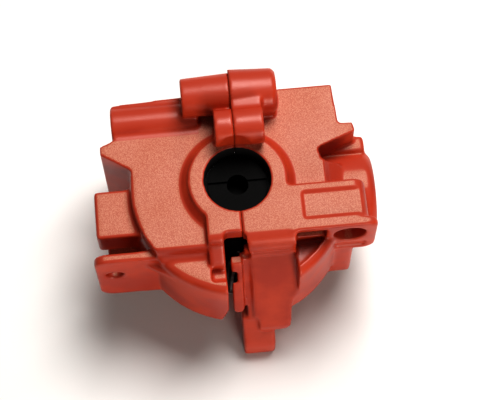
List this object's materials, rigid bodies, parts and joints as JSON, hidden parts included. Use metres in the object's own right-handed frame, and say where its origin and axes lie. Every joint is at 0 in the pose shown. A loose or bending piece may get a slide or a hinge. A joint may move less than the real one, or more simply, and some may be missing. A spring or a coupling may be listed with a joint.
{
  "type": "bevel gearbox",
  "caption": "Right-angle bevel gearbox with a differential, in a two-piece moulded case with screw tubes, mounting lugs and open output mouths.",
  "frame": {"origin": "under the middle of the box of the part, on the surface that it stands on", "axes": "+X along the pinion axis out of its boss, +Z along the output axis out of the upper mouth, +Y to the screw tubes"},
  "size_m": [0.0698, 0.0582, 0.0548],
  "materials": {
    "case_red": "fine texture",
    "steel": "ground",
    "black_steel": "black oxide",
    "gear_steel": "machined",
    "seal_black": "matte",
    "gasket_grey": "matte"
  },
  "bodies": {
    "case": {"left_case_half": "case_red", "right_case_half": "case_red", "tube_screws": "steel", "barrel_screws": "steel", "side_tube_screws": "steel", "upper_bearing_outer_ring": "steel", "lower_bearing_outer_ring": "steel", "front_pinion_bearing_outer_ring": "steel", "rear_pinion_bearing_outer_ring": "steel", "upper_bearing_seals": "seal_black", "lower_bearing_seals": "seal_black", "front_pinion_bearing_seals": "seal_black", "rear_pinion_bearing_seals": "seal_black"},
    "differential": {"differential_case": "black_steel", "crown_gear": "gear_steel", "crown_screws": "steel", "differential_gasket": "gasket_grey", "long_cross_pin": "steel", "short_cross_pin": "steel", "upper_bearing_inner_ring": "steel", "lower_bearing_inner_ring": "steel"},
    "upper_output": {"upper_side_gear": "gear_steel", "upper_outdrive": "black_steel", "upper_drive_pin": "steel", "upper_oil_seal": "seal_black"},
    "lower_output": {"lower_side_gear": "gear_steel", "lower_outdrive": "black_steel", "lower_drive_pin": "steel", "lower_oil_seal": "seal_black"},
    "planet_1": {"planet_gear_1": "gear_steel"},
    "planet_2": {"planet_gear_2": "gear_steel"},
    "planet_3": {"planet_gear_3": "gear_steel"},
    "planet_4": {"planet_gear_4": "gear_steel"},
    "pinion": {"pinion_gear": "gear_steel", "pinion_spacer": "steel", "pinion_circlip": "black_steel", "front_pinion_bearing_inner_ring": "steel", "rear_pinion_bearing_inner_ring": "steel"},
    "upper_bearing_balls": {"upper_bearing_balls": "steel"},
    "lower_bearing_balls": {"lower_bearing_balls": "steel"},
    "front_pinion_bearing_balls": {"front_pinion_bearing_balls": "steel"},
    "rear_pinion_bearing_balls": {"rear_pinion_bearing_balls": "steel"}
  },
  "joints": [
    {"name": "crown_spin", "type": "hinge", "parent": "case", "child": "differential", "pos_m": [0.00118, 0.0019, 0.0274], "axis": [0, 0, 1], "continuous": true},
    {"name": "upper_output_spin", "type": "hinge", "parent": "differential", "child": "upper_output", "pos_m": [0.00118, 0.0019, 0.0274], "axis": [0, 0, 1], "continuous": true},
    {"name": "lower_output_spin", "type": "hinge", "parent": "differential", "child": "lower_output", "pos_m": [0.00118, 0.0019, 0.0274], "axis": [0, 0, 1], "continuous": true},
    {"name": "planet_1_spin", "type": "hinge", "parent": "differential", "child": "planet_1", "pos_m": [0.00118, 0.0019, 0.0274], "axis": [1, 0, 0], "continuous": true},
    {"name": "planet_2_spin", "type": "hinge", "parent": "differential", "child": "planet_2", "pos_m": [0.00118, 0.0019, 0.0274], "axis": [0, 1, 0], "continuous": true},
    {"name": "planet_3_spin", "type": "hinge", "parent": "differential", "child": "planet_3", "pos_m": [0.00118, 0.0019, 0.0274], "axis": [-1, 0, 0], "continuous": true},
    {"name": "planet_4_spin", "type": "hinge", "parent": "differential", "child": "planet_4", "pos_m": [0.00118, 0.0019, 0.0274], "axis": [0, -1, 0], "continuous": true},
    {"name": "pinion_spin", "type": "hinge", "parent": "case", "child": "pinion", "pos_m": [0.00118, 0.0019, 0.0274], "axis": [1, 0, 0], "continuous": true},
    {"name": "upper_bearing_balls_spin", "type": "hinge", "parent": "case", "child": "upper_bearing_balls", "pos_m": [0.00118, 0.0019, 0.0274], "axis": [0, 0, 1], "continuous": true},
    {"name": "lower_bearing_balls_spin", "type": "hinge", "parent": "case", "child": "lower_bearing_balls", "pos_m": [0.00118, 0.0019, 0.0274], "axis": [0, 0, 1], "continuous": true},
    {"name": "front_pinion_bearing_balls_spin", "type": "hinge", "parent": "case", "child": "front_pinion_bearing_balls", "pos_m": [0.00118, 0.0019, 0.0274], "axis": [1, 0, 0], "continuous": true},
    {"name": "rear_pinion_bearing_balls_spin", "type": "hinge", "parent": "case", "child": "rear_pinion_bearing_balls", "pos_m": [0.00118, 0.0019, 0.0274], "axis": [1, 0, 0], "continuous": true}
  ],
  "couplings": [
    {"joint": "lower_output_spin", "follows": "upper_output_spin", "ratio": -1},
    {"joint": "planet_1_spin", "follows": "upper_output_spin", "ratio": -1.6},
    {"joint": "planet_2_spin", "follows": "upper_output_spin", "ratio": -1.6},
    {"joint": "planet_3_spin", "follows": "upper_output_spin", "ratio": -1.6},
    {"joint": "planet_4_spin", "follows": "upper_output_spin", "ratio": -1.6},
    {"joint": "pinion_spin", "follows": "crown_spin", "ratio": 3},
    {"joint": "upper_bearing_balls_spin", "follows": "crown_spin", "ratio": 0.43667},
    {"joint": "lower_bearing_balls_spin", "follows": "crown_spin", "ratio": 0.43667},
    {"joint": "front_pinion_bearing_balls_spin", "follows": "crown_spin", "ratio": 1.125},
    {"joint": "rear_pinion_bearing_balls_spin", "follows": "crown_spin", "ratio": 1.125}
  ]
}
